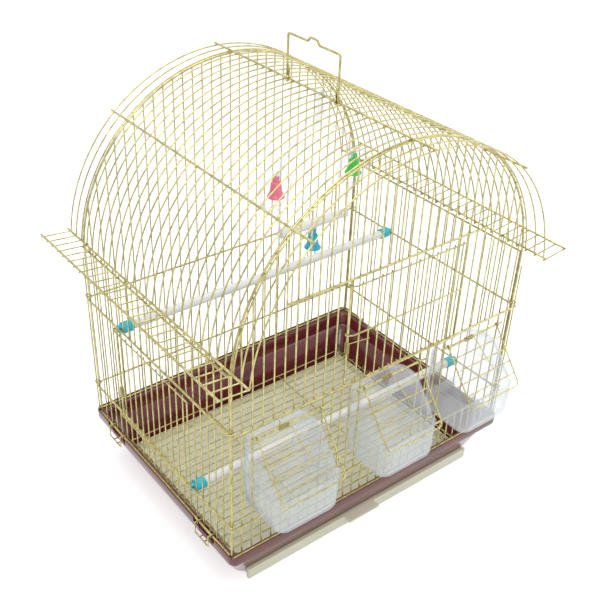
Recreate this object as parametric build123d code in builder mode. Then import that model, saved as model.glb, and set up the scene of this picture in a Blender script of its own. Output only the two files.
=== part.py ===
from build123d import *
import math
import os

os.makedirs("parts", exist_ok=True)

# A round-top wire bird cage on a moulded base with a slide-out drawer.
# X runs along the front wall, the front faces -Y, and Z = 0 is the base's underside.

# Wire sizes
wire = 1.6
rod = 2.4
weld = 0.05
hinge_play = 0.1
seat_gap = 0.3

# Walls, measured over the rails
wall_width = 384.0
wall_depth = 286.0
wall_pitch = 12.0
frame_z = 62.0
rail_a_rise = 40.5
rail_b_rise = 160.0
wall_top_rise = 227.5

# Round roof
arch_centre_rise = 212.0
arch_inset = 1.0
arch_start_angle = 6.0
arch_steps = 12
eave_reach = 34.0
eave_rise = 3.0
roof_overhang_arches = 2
shoulder_angle = 48.0
roof_loop_places = (-8.75, 10.25)
clip_wire = 1.2

# Carry handle
handle_span = 79.0
handle_height = 45.0
handle_corner = 6.0
hump_width = 16.0
hump_height = 4.5
handle_tail = 10.0

# Front door, placed by wall wire numbers from the left
door_first_wire = 11
door_last_wire = 23
door_height = 114.0
door_overlap = 5.0
door_middle_bar = 0.52
door_stop_rise = 283.0
door_stop_overrun = 6
eye_wire = 1.6

# Side door in the left wall, as a number of wire gaps each side of the middle
side_door_gaps = 6

# Feeder flaps and cups
feeder_first_wires = (2, 13, 23)
feeder_gaps = 7
flap_width = 76.0
flap_length = 72.0
flap_angle = 38.6
flap_bars = 4
flap_hinge_drop = 14.0
hinge_overhang = 9.0
cup_width = 78.0
cup_reach = 40.0
cup_inside = 30.0
cup_floor_rise = 4.0
cup_front_height = 46.0
cup_back_height = 88.5
cup_wall = 1.4
cup_corner = 15.0
cup_mouth_height = 20.0
lug_length = 4.0
lug_height = 10.0
lug_thick = 2.0

# Torsion springs
spring_wire = 0.9
spring_pitch = 4.0
spring_turns = 3
door_spring_arms = (11.5, 22.0)
flap_spring_arms = (15.0, 43.0)
spring_lean = 12.0
front_spring_z = 262.0
side_spring_z = 128.0
flap_spring_offset = -7.0

# Base
base_wall = 2.5
base_foot_inset = (24.4, 23.0)
base_neck_inset = (3.0, 2.5)
base_neck_z = 52.5
base_rim_overhang = (2.6, 3.1)
base_lip_height = 3.0
base_lip_thick = 1.0
base_corner = 12.0
base_rim_corner = 7.0
base_frame_corner = 4.0
ledge_width = 8.3
ledge_z = (12.4, 14.8)
ledge_half_length = 115.0
slot_z = (2.5, 15.2)

# Drawer and grate
drawer_inset = 6.6
drawer_back_y = 112.0
drawer_height = 11.4
drawer_wall = 1.8
drawer_side_play = 1.2
drawer_front_low = 1.0
drawer_front_height = 13.6
drawer_front_thick = 4.0
drawer_front_over = 2.0
tab_x = -10.0
tab_width = 44.0
tab_reach = 10.0
tab_thick = 2.0
grate_wires = 24
grate_pitch = 10.2
grate_end_inset = 0.6
grate_rod_x = (164.0, 59.0)

# Perches
perch_diameter = 10.0
cap_diameter = 13.0
cap_length = 12.0
cap_socket = 10.0
prong_width = 4.0
prong_thick = 2.2
prong_past_rail = 1.2
upper_perch_gap = 16
lower_perch_gap = 5

# Swing and bells, as drops below the ridge rod
swing_thick = 5.0
swing_band = 4.0
swing_hook = 4.5
swing_arch_radius = 47.0
swing_arch_drop = 78.0
swing_tab_drop = 20.0
swing_tab_width = 14.0
swing_ring_radius = 21.5
swing_ring_x = 50.0
swing_ring_drop = 89.0
swing_leg_x = 45.0
swing_bar_drop = 140.0
swing_bar_diameter = 10.0
bell_lug = (4.0, 3.0, 6.0)
bell_pin = 1.5
pin_play = 0.05
bell_ear = 1.2
bell_swing_gap = 1.2
bell_mouth = 9.0
bell_height = 17.0
bell_wall = 1.0

# Latches on the side walls' bottom wires
latch_gaps = (6.5, 8.5)
latch_wire = 1.6
latch_out = 2.5
latch_drop = 12.7
latch_hook = 6.0
notch_reach = 3.8

# Positions that follow from the sizes above
step = (wire + rod) / 2 + weld
spring_radius = (rod + spring_wire) / 2 + seat_gap
half_width = wall_width / 2
half_depth = wall_depth / 2
arch_radius = half_width - arch_inset
base_foot = (half_width - base_foot_inset[0], half_depth - base_foot_inset[1])
base_neck = (half_width - base_neck_inset[0], half_depth - base_neck_inset[1])
base_rim = (half_width + base_rim_overhang[0], half_depth + base_rim_overhang[1])
drawer_half_width = base_foot[0] - drawer_inset
grate_half_length = base_foot[0] - grate_end_inset
front_wire_y = half_depth - step
arch_y = front_wire_y - step
side_wire_x = half_width - step
post_x = half_width - (rod - wire) / 2
side_half = arch_y - rod / 2 - seat_gap - weld
front_gaps = round(2 * post_x / wall_pitch)
front_pitch = 2 * post_x / front_gaps
side_gaps = 2 * round((side_half - wire / 2) / wall_pitch)
side_pitch = 2 * (side_half - wire / 2) / side_gaps
rail_a_z = frame_z + rail_a_rise
rail_b_z = frame_z + rail_b_rise
bottom_rail_z = frame_z + rod / 2
arch_centre_z = frame_z + arch_centre_rise
ridge_z = arch_centre_z + arch_radius + step
roof_arch_y = front_wire_y + wire + seat_gap
roof_gaps = 2 * round(2 * roof_arch_y / wall_pitch / 2) - 1 + 2 * roof_overhang_arches
roof_pitch = 2 * roof_arch_y / (roof_gaps - 2 * roof_overhang_arches)
roof_half = roof_gaps * roof_pitch / 2
wall_arch_radius = arch_radius - (rod - wire) / 2
foot_x = wall_arch_radius * math.cos(math.radians(arch_start_angle))
eave_x = arch_radius * math.cos(math.radians(arch_start_angle))
eave_z = arch_centre_z + arch_radius * math.sin(math.radians(arch_start_angle))
wall_top_z = frame_z + wall_top_rise
hinge_x = -post_x + door_first_wire * front_pitch
door_right = -post_x + door_last_wire * front_pitch + door_overlap
door_wire_y = -half_depth - step - seat_gap
door_bar_y = door_wire_y - wire - weld
door_low_z = rail_b_z + rod + seat_gap
door_stop_z = frame_z + door_stop_rise
side_door_wires = (side_gaps // 2 - side_door_gaps, side_gaps // 2 + side_door_gaps)
side_hinge_y = side_door_gaps * side_pitch
side_free_y = -side_hinge_y + wire + seat_gap
side_door_x = -half_width - step - seat_gap
side_bar_x = side_door_x - wire - weld
side_door_z = (rail_a_z + rod + seat_gap, rail_b_z - rod - seat_gap)
flap_hinge_z = rail_b_z - flap_hinge_drop
feeder_x = [-post_x + (n + feeder_gaps / 2) * front_pitch for n in feeder_first_wires]
cup_floor_z = rail_a_z + cup_floor_rise


def wire_run(points, size, sides=6):
    """A wire through the points, straight or bent, with a flat-sided section."""
    stops = [Vector(*p) for p in points]
    with BuildSketch(Plane(origin=stops[0], z_dir=stops[1] - stops[0])) as section:
        RegularPolygon(size / 2, sides)
    if len(stops) == 2:
        extrude(section.sketch, amount=(stops[1] - stops[0]).length)
    else:
        with BuildLine() as path:
            Polyline(*stops)
        sweep(section.sketch, path=path.line, transition=Transition.RIGHT)


def uprights(places, low, high, size=wire):
    """Upright wires of one height at several places."""
    with BuildSketch(Plane.XY.offset(low)) as sections:
        with Locations(*places):
            RegularPolygon(size / 2, 6)
    extrude(sections.sketch, amount=high - low)


def round_rod(start, end, size):
    """A true round rod, used where something turns on it."""
    a = Vector(*start)
    b = Vector(*end)
    with BuildSketch(Plane(origin=a, z_dir=b - a)) as section:
        Circle(size / 2)
    extrude(section.sketch, amount=(b - a).length)


def block(low, high, mode=Mode.ADD):
    """A box between two opposite corners."""
    sizes = [abs(b - a) for a, b in zip(low, high)]
    middle = tuple((a + b) / 2 for a, b in zip(low, high))
    with Locations(middle):
        Box(*sizes, mode=mode)


def eye(centre, axis, pin, size, width):
    """A bent wire eye round a pin, as a six-sided ring."""
    bore = pin / 2 + hinge_play
    with BuildSketch(Plane(origin=centre, z_dir=axis)) as ring:
        RegularPolygon(bore + size, 6, major_radius=False)
        RegularPolygon(bore, 6, major_radius=False, mode=Mode.SUBTRACT)
    extrude(ring.sketch, amount=width / 2, both=True)


def wire_x(number):
    """The place of a numbered front wall wire."""
    return -post_x + number * front_pitch


def side_y(number):
    """The place of a numbered side wall wire."""
    return (number - side_gaps / 2) * side_pitch


def arch_line(y, radius):
    """Points along a round arch, from left to right."""
    turns = [arch_start_angle + i * (180 - 2 * arch_start_angle) / arch_steps for i in range(arch_steps + 1)]
    return [(-radius * math.cos(math.radians(t)), y,
             arch_centre_z + radius * math.sin(math.radians(t))) for t in turns]


def roof_line(y):
    """One roof wire: eave, round arch, eave."""
    eave = (eave_x + eave_reach, y, eave_z + eave_rise)
    return [(-eave[0], y, eave[2])] + arch_line(y, arch_radius) + [eave]


def arch_top(x):
    """The height of the wall's arch above a place on the front wall."""
    return arch_centre_z + math.sqrt(max(arch_radius ** 2 - x ** 2, 0.0)) + weld


def upright_spans(number, with_openings):
    """The lengths that one end wall wire is cut into by the door and feeder openings."""
    top = arch_top(wire_x(number)) if 0 < number < front_gaps else arch_centre_z
    spans = [(frame_z, top)]
    if not with_openings:
        return spans
    cuts = []
    if any(first < number < first + feeder_gaps for first in feeder_first_wires):
        cuts.append((rail_a_z + rod / 2, rail_b_z - rod / 2))
    if door_first_wire <= number < door_last_wire:
        cuts.append((rail_b_z + rod / 2, door_stop_z - rod / 2))
    for low, high in cuts:
        spans = [s for a, b in spans for s in ((a, min(b, low)), (max(a, high), b)) if s[1] > s[0]]
    return spans


def end_wall(sign, with_openings):
    """A round-topped end wall: upright wires with outside rails."""
    groups = {}
    for number in range(front_gaps + 1):
        for low, high in upright_spans(number, with_openings):
            groups.setdefault((low, high), []).append((wire_x(number), sign * front_wire_y))
    for (low, high), places in groups.items():
        uprights(places, low, high)
    for z in (bottom_rail_z, rail_a_z, rail_b_z):
        wire_run([(-half_width, sign * half_depth, z), (half_width, sign * half_depth, z)], rod)


def side_wall(sign, with_door):
    """A straight side wall: upright wires with outside rails and a top rod."""
    doorway = range(side_door_wires[0] + 1, side_door_wires[1] + 1) if with_door else []
    full = [(sign * side_wire_x, side_y(n)) for n in range(side_gaps + 1) if n not in doorway]
    uprights(full, frame_z, wall_top_z + rod)
    if with_door:
        cut = [(sign * side_wire_x, side_y(n)) for n in doorway]
        uprights(cut, frame_z, rail_a_z + rod / 2)
        uprights(cut, rail_b_z - rod / 2, wall_top_z + rod)
    for z in (rail_a_z, rail_b_z, wall_top_z):
        wire_run([(sign * half_width, -side_half, z), (sign * half_width, side_half, z)], rod)
    round_rod((sign * half_width, -side_half, bottom_rail_z),
              (sign * half_width, side_half, bottom_rail_z), rod)


def spring_path(place, radius, first_turn, turns, rise, arms):
    """A coil's wire as a straight arm, half turns of two arcs each, and a straight arm."""
    def on_coil(turn):
        point = place.from_local_coords(Vector(radius * math.cos(turn), radius * math.sin(turn),
                                               rise * (turn - first_turn) / (2 * math.pi)))
        slope = Vector(-radius * math.sin(turn), radius * math.cos(turn), rise / (2 * math.pi))
        along = (place.from_local_coords(slope) - place.origin).normalized()
        return point, along

    steps = math.ceil(2 * turns)
    stops = [on_coil(first_turn + 2 * math.pi * turns * i / steps) for i in range(steps + 1)]
    Line(stops[0][0] - stops[0][1] * arms[0], stops[0][0])
    for (p0, t0), (p1, t1) in zip(stops, stops[1:]):
        chord = p1 - p0
        bend = 2 * (1 - t0.dot(t1))
        reach = chord.dot(t0 + t1)
        arm = (math.sqrt(reach * reach + 2 * bend * chord.dot(chord)) - reach) / bend
        middle = (p0 + p1 + (t0 - t1) * arm) * 0.5
        along = (p1 - t1 * arm - p0 - t0 * arm).normalized()
        TangentArc(p0, middle, tangent=t0)
        TangentArc(middle, p1, tangent=along)
    Line(stops[-1][0], stops[-1][0] + stops[-1][1] * arms[1])


def least_gap(path, size, apart):
    """The least gap of a wire to itself, on points further apart than a given length."""
    count = 240
    points = [path.position_at(i / count) for i in range(count + 1)]
    skip = math.ceil(apart / (path.length / count))
    pairs = [(points[i] - points[j]).length for i in range(count + 1) for j in range(i + skip, count + 1)]
    return min(pairs) - size


# Front wall, with its doorway and three feeder openings
with BuildPart() as front_panel:
    end_wall(-1, True)
    stop_ends = (wire_x(door_first_wire - door_stop_overrun), wire_x(door_last_wire + 3))
    wire_run([(x, -half_depth, door_stop_z) for x in stop_ends], rod)
front_panel.part.label = "front_panel"
export_step(front_panel.part, "parts/front_panel.step")

# Back wall
with BuildPart() as back_panel:
    end_wall(1, False)
back_panel.part.label = "back_panel"
export_step(back_panel.part, "parts/back_panel.step")

# Bent arch rods that stand on the base behind the end walls' wires
for name, sign in (("front_arch", -1), ("back_arch", 1)):
    with BuildPart() as end_arch:
        feet = [(side * foot_x, sign * arch_y, frame_z) for side in (-1, 1)]
        wire_run([feet[0]] + arch_line(sign * arch_y, wall_arch_radius) + [feet[1]], rod)
    end_arch.part.label = name
    export_step(end_arch.part, f"parts/{name}.step")

# Left wall, with its doorway
with BuildPart() as left_panel:
    side_wall(-1, True)
left_panel.part.label = "left_panel"
export_step(left_panel.part, "parts/left_panel.step")

# Right wall
with BuildPart() as right_panel:
    side_wall(1, False)
right_panel.part.label = "right_panel"
export_step(right_panel.part, "parts/right_panel.step")

# Roof: evenly spaced bent wires with shoulder and eave rods lying on them
with BuildPart() as roof_wire:
    wire_run(roof_line(0), wire, sides=4)

inner_rod = (eave_x + step, eave_z + step + eave_rise * step / eave_reach)
outer_rod = (eave_x + eave_reach - rod / 2, eave_z + eave_rise + step)
shoulder_rod = ((arch_radius + step) * math.cos(math.radians(shoulder_angle)),
                arch_centre_z + (arch_radius + step) * math.sin(math.radians(shoulder_angle)))
rod_end_y = roof_half + rod
with BuildPart() as roof_panel:
    with Locations(*[(0, -roof_half + i * roof_pitch, 0) for i in range(roof_gaps + 1)]):
        add(roof_wire.part)
    for x, z in (shoulder_rod, inner_rod, outer_rod):
        for side in (-1, 1):
            wire_run([(side * x, -rod_end_y, z), (side * x, rod_end_y, z)], rod)
roof_panel.part.label = "roof_panel"
export_step(roof_panel.part, "parts/roof_panel.step")

# Round ridge rod, which the handle and the swing hang on
with BuildPart() as ridge_rod:
    round_rod((0, -rod_end_y, ridge_z), (0, rod_end_y, ridge_z), rod)
ridge_rod.part.label = "ridge_rod"
export_step(ridge_rod.part, "parts/ridge_rod.step")

# Loops that tie the walls together at the corners
clip_x = (foot_x - rod / 2 - seat_gap, post_x + wire / 2 + seat_gap)
clip_y = (side_half - wire - seat_gap, front_wire_y + wire / 2 + seat_gap)
clip_size = (clip_x[1] - clip_x[0], clip_y[1] - clip_y[0])
with BuildPart() as corner_clips:
    for z in (rail_a_z + rod + clip_wire, rail_b_z + rod + clip_wire):
        with BuildSketch(Plane.XY.offset(z)):
            with GridLocations(clip_x[0] + clip_x[1], clip_y[0] + clip_y[1], 2, 2):
                Rectangle(clip_size[0] + 2 * clip_wire, clip_size[1] + 2 * clip_wire)
                Rectangle(*clip_size, mode=Mode.SUBTRACT)
        extrude(amount=clip_wire)
corner_clips.part.label = "corner_clips"
export_step(corner_clips.part, "parts/corner_clips.step")

# Loops that tie the roof's inner eave rods to the top rods of the side walls
loop_z = (wall_top_z - rod / 2 - seat_gap, inner_rod[1] + rod / 2 + seat_gap)
loop_size = (inner_rod[0] - half_width + rod + 2 * seat_gap, loop_z[1] - loop_z[0])
with BuildPart() as roof_clips:
    for pitches in roof_loop_places:
        with BuildSketch(Plane.XZ.offset(-pitches * roof_pitch)):
            with Locations(*[(side * (inner_rod[0] + half_width) / 2, sum(loop_z) / 2) for side in (-1, 1)]):
                Rectangle(loop_size[0] + 2 * clip_wire, loop_size[1] + 2 * clip_wire)
                Rectangle(*loop_size, mode=Mode.SUBTRACT)
        extrude(amount=clip_wire / 2, both=True)
roof_clips.part.label = "roof_clips"
export_step(roof_clips.part, "parts/roof_clips.step")

# Carry handle: a bent rod with a thumb hump, its feet turned into eyes round the ridge rod
leg_y = handle_span / 2
tail_y = leg_y - rod - 2 * weld
top_z = ridge_z + handle_height
foot_z = ridge_z + rod + hinge_play
half_handle = [(0, leg_y, foot_z), (0, leg_y, top_z - handle_corner), (0, leg_y - handle_corner, top_z),
               (0, hump_width / 2, top_z), (0, hump_width / 4, top_z + hump_height)]
with BuildPart() as carry_handle:
    wire_run(half_handle + [(x, -y, z) for x, y, z in reversed(half_handle)], rod)
    for side in (-1, 1):
        eye((0, side * (leg_y + tail_y) / 2, ridge_z), (0, 1, 0), rod, rod, 2 * rod)
        wire_run([(0, side * tail_y, foot_z), (0, side * tail_y, foot_z + handle_tail)], rod)
carry_handle.part.label = "carry_handle"
export_step(carry_handle.part, "parts/carry_handle.step")

# Front door: upright wires on three bars that end in eyes round the hinge rod
door_bars = (door_low_z, door_low_z + door_height * door_middle_bar, door_low_z + door_height)
eye_face = rod / 2 + hinge_play + eye_wire / 2
with BuildPart() as front_door:
    door_places = [(wire_x(n), door_wire_y) for n in range(door_first_wire + 1, door_last_wire + 1)]
    uprights(door_places, door_bars[0] - wire, door_bars[2] + wire)
    for z in door_bars:
        wire_run([(hinge_x - wire / 2, door_bar_y, z), (door_right, door_bar_y, z)], wire)
        eye((hinge_x, -half_depth, z), (0, 0, 1), rod, eye_wire, wire)
        wire_run([(hinge_x, -half_depth - eye_face, z), (hinge_x, door_bar_y, z)], wire)
    wire_run([(door_right, door_bar_y, door_bars[0]), (door_right, door_bar_y, door_bars[2])], wire)
front_door.part.label = "front_door"
export_step(front_door.part, "parts/front_door.step")

with BuildPart() as front_door_hinge:
    round_rod((hinge_x, -half_depth, rail_b_z + rod / 2 + weld),
              (hinge_x, -half_depth, door_stop_z - rod / 2 - weld), rod)
front_door_hinge.part.label = "front_door_hinge"
export_step(front_door_hinge.part, "parts/front_door_hinge.step")

# Side door in the left wall, between the two rails
with BuildPart() as side_door:
    places = [(side_door_x, side_y(n)) for n in range(side_door_wires[0] + 1, side_door_wires[1])]
    uprights(places, side_door_z[0] - wire, side_door_z[1] + wire)
    for z in side_door_z:
        wire_run([(side_bar_x, side_free_y, z), (side_bar_x, side_hinge_y + wire / 2, z)], wire)
        eye((-half_width, side_hinge_y, z), (0, 0, 1), rod, eye_wire, wire)
        wire_run([(-half_width - eye_face, side_hinge_y, z), (side_bar_x, side_hinge_y, z)], wire)
    wire_run([(side_bar_x, side_free_y, side_door_z[0]), (side_bar_x, side_free_y, side_door_z[1])], wire)
side_door.part.label = "side_door"
export_step(side_door.part, "parts/side_door.step")

with BuildPart() as side_door_hinge:
    round_rod((-half_width, side_hinge_y, rail_a_z + rod / 2 + weld),
              (-half_width, side_hinge_y, rail_b_z - rod / 2 - weld), rod)
side_door_hinge.part.label = "side_door_hinge"
export_step(side_door_hinge.part, "parts/side_door_hinge.step")

# Feeder flaps: sloping wire frames that turn on short rods outside the wall
flap_turn = math.radians(flap_angle)
flap_normal = (0, -math.cos(flap_turn), math.sin(flap_turn))
for index, x_mid in enumerate(feeder_x, start=1):
    flap_place = Plane(origin=(x_mid, -half_depth, flap_hinge_z), x_dir=(1, 0, 0), z_dir=flap_normal)

    def on_flap(across, down, up=0.0):
        return tuple(flap_place.from_local_coords(Vector(across, -down, up)))

    half = flap_width / 2
    with BuildPart() as flap:
        wire_run([on_flap(-half, eye_face), on_flap(-half, flap_length),
                  on_flap(half, flap_length), on_flap(half, eye_face)], wire)
        for side in (-1, 1):
            eye(on_flap(side * half, 0), (1, 0, 0), rod, eye_wire, wire)
        for bar in range(flap_bars):
            down = flap_length * (bar + 1) / (flap_bars + 1)
            wire_run([on_flap(-half, down, -wire * 0.8), on_flap(half, down, -wire * 0.8)], wire)
    flap.part.label = f"feeder_flap_{index}"
    export_step(flap.part, f"parts/feeder_flap_{index}.step")

    with BuildPart() as flap_rod:
        reach = half + hinge_overhang
        round_rod((x_mid - reach, -half_depth, flap_hinge_z), (x_mid + reach, -half_depth, flap_hinge_z), rod)
    flap_rod.part.label = f"flap_hinge_rod_{index}"
    export_step(flap_rod.part, f"parts/flap_hinge_rod_{index}.step")


def cup_form(x_mid, inset):
    """The space inside a feeder cup's walls, or its outside with no inset."""
    front_y = -half_depth - cup_reach + inset
    back_y = -half_depth + cup_inside - inset
    low_z = cup_floor_z + inset
    high_z = cup_floor_z + cup_back_height - inset
    rim_z = cup_floor_z + cup_front_height - inset * (1 - math.sin(flap_turn)) / math.cos(flap_turn)
    top_y = front_y + (high_z - rim_z) * math.tan(flap_turn)
    corner = cup_corner - inset
    left = x_mid - cup_width / 2 + inset
    right = x_mid + cup_width / 2 - inset
    with BuildPart() as form:
        with BuildSketch(Plane.XY.offset(low_z)):
            with BuildLine():
                Line((left, back_y), (left, front_y + corner))
                RadiusArc((left, front_y + corner), (left + corner, front_y), -corner)
                Line((left + corner, front_y), (right - corner, front_y))
                RadiusArc((right - corner, front_y), (right, front_y + corner), -corner)
                Polyline((right, front_y + corner), (right, back_y), (left, back_y))
            make_face()
        extrude(amount=high_z - low_z)
        with BuildSketch(Plane.YZ.offset(left)):
            with BuildLine():
                Polyline((back_y, low_z), (front_y, low_z), (front_y, rim_z), (top_y, high_z),
                         (back_y, high_z), close=True)
            make_face()
        extrude(amount=right - left, mode=Mode.INTERSECT)
    return form.part


# Clear hooded feeder cups, open at the back inside the cage, with lugs behind the wall wires
for index, x_mid in enumerate(feeder_x, start=1):
    outside = cup_form(x_mid, 0)
    inside = cup_form(x_mid, cup_wall)
    mouth_y = -half_depth + cup_inside
    lug_y = -front_wire_y + wire / 2 + seat_gap + weld
    with BuildPart() as cup:
        add(outside)
        add(inside, mode=Mode.SUBTRACT)
        block((x_mid - cup_width / 2 + cup_wall, mouth_y - 2 * cup_wall, cup_floor_z + cup_mouth_height),
              (x_mid + cup_width / 2 - cup_wall, mouth_y + cup_wall,
               cup_floor_z + cup_back_height - cup_wall), mode=Mode.SUBTRACT)
        for side in (-1, 1):
            edge = x_mid + side * (cup_width / 2 - cup_wall / 2)
            block((edge, lug_y, cup_floor_z + cup_mouth_height),
                  (edge + side * lug_length, lug_y + lug_thick, cup_floor_z + cup_mouth_height + lug_height))
    cup.part.label = f"feeder_cup_{index}"
    export_step(cup.part, f"parts/feeder_cup_{index}.step")

# Torsion springs: open coils round each hinge rod, one arm on the wall and one on the door or flap
lean = math.radians(spring_lean)
springs = [(Plane((hinge_x, -half_depth, front_spring_z)), -math.pi / 2 - lean, spring_turns, door_spring_arms),
           (Plane((-half_width, side_hinge_y, side_spring_z)), math.pi - lean, spring_turns, door_spring_arms)]
for x_mid in feeder_x:
    start_x = x_mid + flap_spring_offset - spring_turns * spring_pitch / 2
    place = Plane(origin=(start_x, -half_depth, flap_hinge_z), x_dir=(0, 1, 0), z_dir=(1, 0, 0))
    springs.append((place, math.pi, spring_turns - flap_angle / 360, flap_spring_arms))
routes = []
for place, first_turn, turns, arms in springs:
    with BuildLine() as spring_route:
        spring_path(place, spring_radius, first_turn, turns, spring_pitch, arms)
    routes.append(spring_route.wire())
with BuildPart() as hinge_springs:
    for route in routes:
        with BuildSketch(Plane(origin=route @ 0, z_dir=route % 0)) as section:
            RegularPolygon(spring_wire / 2, 4)
        sweep(section.sketch, path=route)
hinge_springs.part.label = "hinge_springs"
export_step(hinge_springs.part, "parts/hinge_springs.step")
for route in routes:
    gap = least_gap(route, spring_wire, spring_radius * math.pi)
    print("a spring's least gap to itself", round(gap, 3), "mm")


def base_half(z, inset=0.0):
    """Half the width and depth of the tapering base wall at a height."""
    share = z / base_neck_z
    return tuple(a + (b - a) * share - inset for a, b in zip(base_foot, base_neck))


def slab(half, low, high, corner, mode=Mode.ADD):
    """A slab with rounded corners between two heights."""
    with BuildSketch(Plane.XY.offset(low)) as outline:
        RectangleRounded(2 * half[0], 2 * half[1], corner)
    extrude(outline.sketch, amount=high - low, mode=mode)


def cut_corner_outline(half, z):
    """A flat outline at a height, with each corner cut in three steps."""
    places = []
    for quarter, (sx, sy) in enumerate(((1, 1), (-1, 1), (-1, -1), (1, -1))):
        for i in range(4):
            turn = math.radians(90 * quarter + 30 * i)
            places.append((sx * (half[0] - base_corner) + base_corner * math.cos(turn),
                           sy * (half[1] - base_corner) + base_corner * math.sin(turn)))
    with BuildSketch(Plane.XY.offset(z)) as outline:
        with BuildLine():
            Polyline(*places, close=True)
        make_face()
    return outline.sketch


def tapered_block(low, high, inset, mode=Mode.ADD):
    """The base's tapering form between two heights, set in by a wall."""
    ends = [cut_corner_outline(base_half(z, inset), z) for z in (low, high)]
    loft(ends, ruled=True, mode=mode)


# Base tray: tapering walls, a rim with a lip round the wire frame, ledges for the grate, a drawer slot
shelf_z = frame_z - weld
lip_inside = tuple(v - base_lip_thick for v in base_rim)
rim_inside = tuple(v - base_wall for v in base_neck)
with BuildPart() as base_tray:
    tapered_block(0, base_neck_z, 0.0)
    tapered_block(base_wall, base_neck_z, base_wall, mode=Mode.SUBTRACT)
    slab(base_rim, base_neck_z, shelf_z + base_lip_height, base_rim_corner)
    slab(lip_inside, shelf_z, shelf_z + base_lip_height, base_frame_corner, mode=Mode.SUBTRACT)
    slab(rim_inside, base_neck_z, shelf_z, base_corner, mode=Mode.SUBTRACT)
    for side in (-1, 1):
        for end in (-1, 1):
            block((side * (half_width - notch_reach), end * (latch_gaps[0] * side_pitch - notch_reach),
                   bottom_rail_z - notch_reach),
                  (side * base_rim[0] * 1.1, end * (latch_gaps[1] * side_pitch + notch_reach), base_rim[0]),
                  mode=Mode.SUBTRACT)
    ledge_x = drawer_half_width + drawer_side_play
    for side in (-1, 1):
        block((side * ledge_x, -ledge_half_length, ledge_z[0]),
              (side * (ledge_x + ledge_width), ledge_half_length, ledge_z[1]))
    block((-drawer_half_width - seat_gap, -base_neck[1], slot_z[0]),
          (drawer_half_width + seat_gap, -base_foot[1] + 3 * base_wall, slot_z[1]), mode=Mode.SUBTRACT)
base_tray.part.label = "base_tray"
export_step(base_tray.part, "parts/base_tray.step")

# Slide-out drawer with a front strip and a pull tab
drawer_low = base_wall + seat_gap
strip_back_y = -base_half(slot_z[1])[1] - seat_gap
with BuildPart() as slide_out_drawer:
    block((-drawer_half_width, strip_back_y, drawer_low),
          (drawer_half_width, drawer_back_y, drawer_low + drawer_height))
    block((-drawer_half_width + drawer_wall, strip_back_y + drawer_wall, drawer_low + drawer_wall),
          (drawer_half_width - drawer_wall, drawer_back_y - drawer_wall, drawer_low + 2 * drawer_height),
          mode=Mode.SUBTRACT)
    strip_front_y = strip_back_y - drawer_front_thick
    strip_top = drawer_front_low + drawer_front_height
    block((-drawer_half_width - drawer_front_over, strip_front_y, drawer_front_low),
          (drawer_half_width + drawer_front_over, strip_back_y, strip_top))
    block((tab_x - tab_width / 2, strip_front_y - tab_reach, strip_top - tab_thick),
          (tab_x + tab_width / 2, strip_front_y, strip_top))
slide_out_drawer.part.label = "slide_out_drawer"
export_step(slide_out_drawer.part, "parts/slide_out_drawer.step")

# Floor grate, lying on the base's ledges
grate_rod_z = ledge_z[1] + weld + wire / 2
grate_half_y = (grate_wires - 1) / 2 * grate_pitch
with BuildPart() as floor_grate:
    for x in grate_rod_x:
        for side in (-1, 1):
            wire_run([(side * x, -grate_half_y - wire, grate_rod_z),
                      (side * x, grate_half_y + wire, grate_rod_z)], wire)
    with BuildSketch(Plane.YZ.offset(-grate_half_length)):
        with Locations((0, grate_rod_z + wire + weld)):
            with GridLocations(grate_pitch, 0, grate_wires, 1):
                RegularPolygon(wire / 2, 6)
    extrude(amount=2 * grate_half_length)
floor_grate.part.label = "floor_grate"
export_step(floor_grate.part, "parts/floor_grate.step")

# Perches: a straight tube between the side walls with forked caps that clip over the rails
cap_end_x = side_wire_x - wire / 2 - 2 * seat_gap
socket_end_x = cap_end_x - (cap_length - cap_socket)
for name, gap, rail_z in (("upper", upper_perch_gap, rail_b_z), ("lower", lower_perch_gap, rail_a_z)):
    y = (side_y(gap) + side_y(gap + 1)) / 2
    with BuildPart() as perch:
        round_rod((weld - socket_end_x, y, rail_z), (socket_end_x - weld, y, rail_z), perch_diameter)
    perch.part.label = f"{name}_perch"
    export_step(perch.part, f"parts/{name}_perch.step")
    with BuildPart() as caps:
        for side in (-1, 1):
            cap_start = (side * (cap_end_x - cap_length), y, rail_z)
            cap_end = (side * cap_end_x, y, rail_z)
            with BuildSketch(Plane(origin=cap_start, z_dir=(side, 0, 0))) as cap:
                RegularPolygon(cap_diameter / 2, 12)
            extrude(cap.sketch, amount=cap_length)
            with BuildSketch(Plane(origin=cap_start, z_dir=(side, 0, 0))) as socket:
                RegularPolygon(perch_diameter / 2 + weld, 12, major_radius=False)
            extrude(socket.sketch, amount=cap_socket, mode=Mode.SUBTRACT)
            for up in (-1, 1):
                low = rail_z + up * (rod / 2 + seat_gap)
                block((side * (cap_end_x - 1), y - prong_width / 2, low),
                      (side * (half_width + prong_past_rail), y + prong_width / 2, low + up * prong_thick))
    caps.part.label = f"{name}_perch_caps"
    export_step(caps.part, f"parts/{name}_perch_caps.step")

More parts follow.
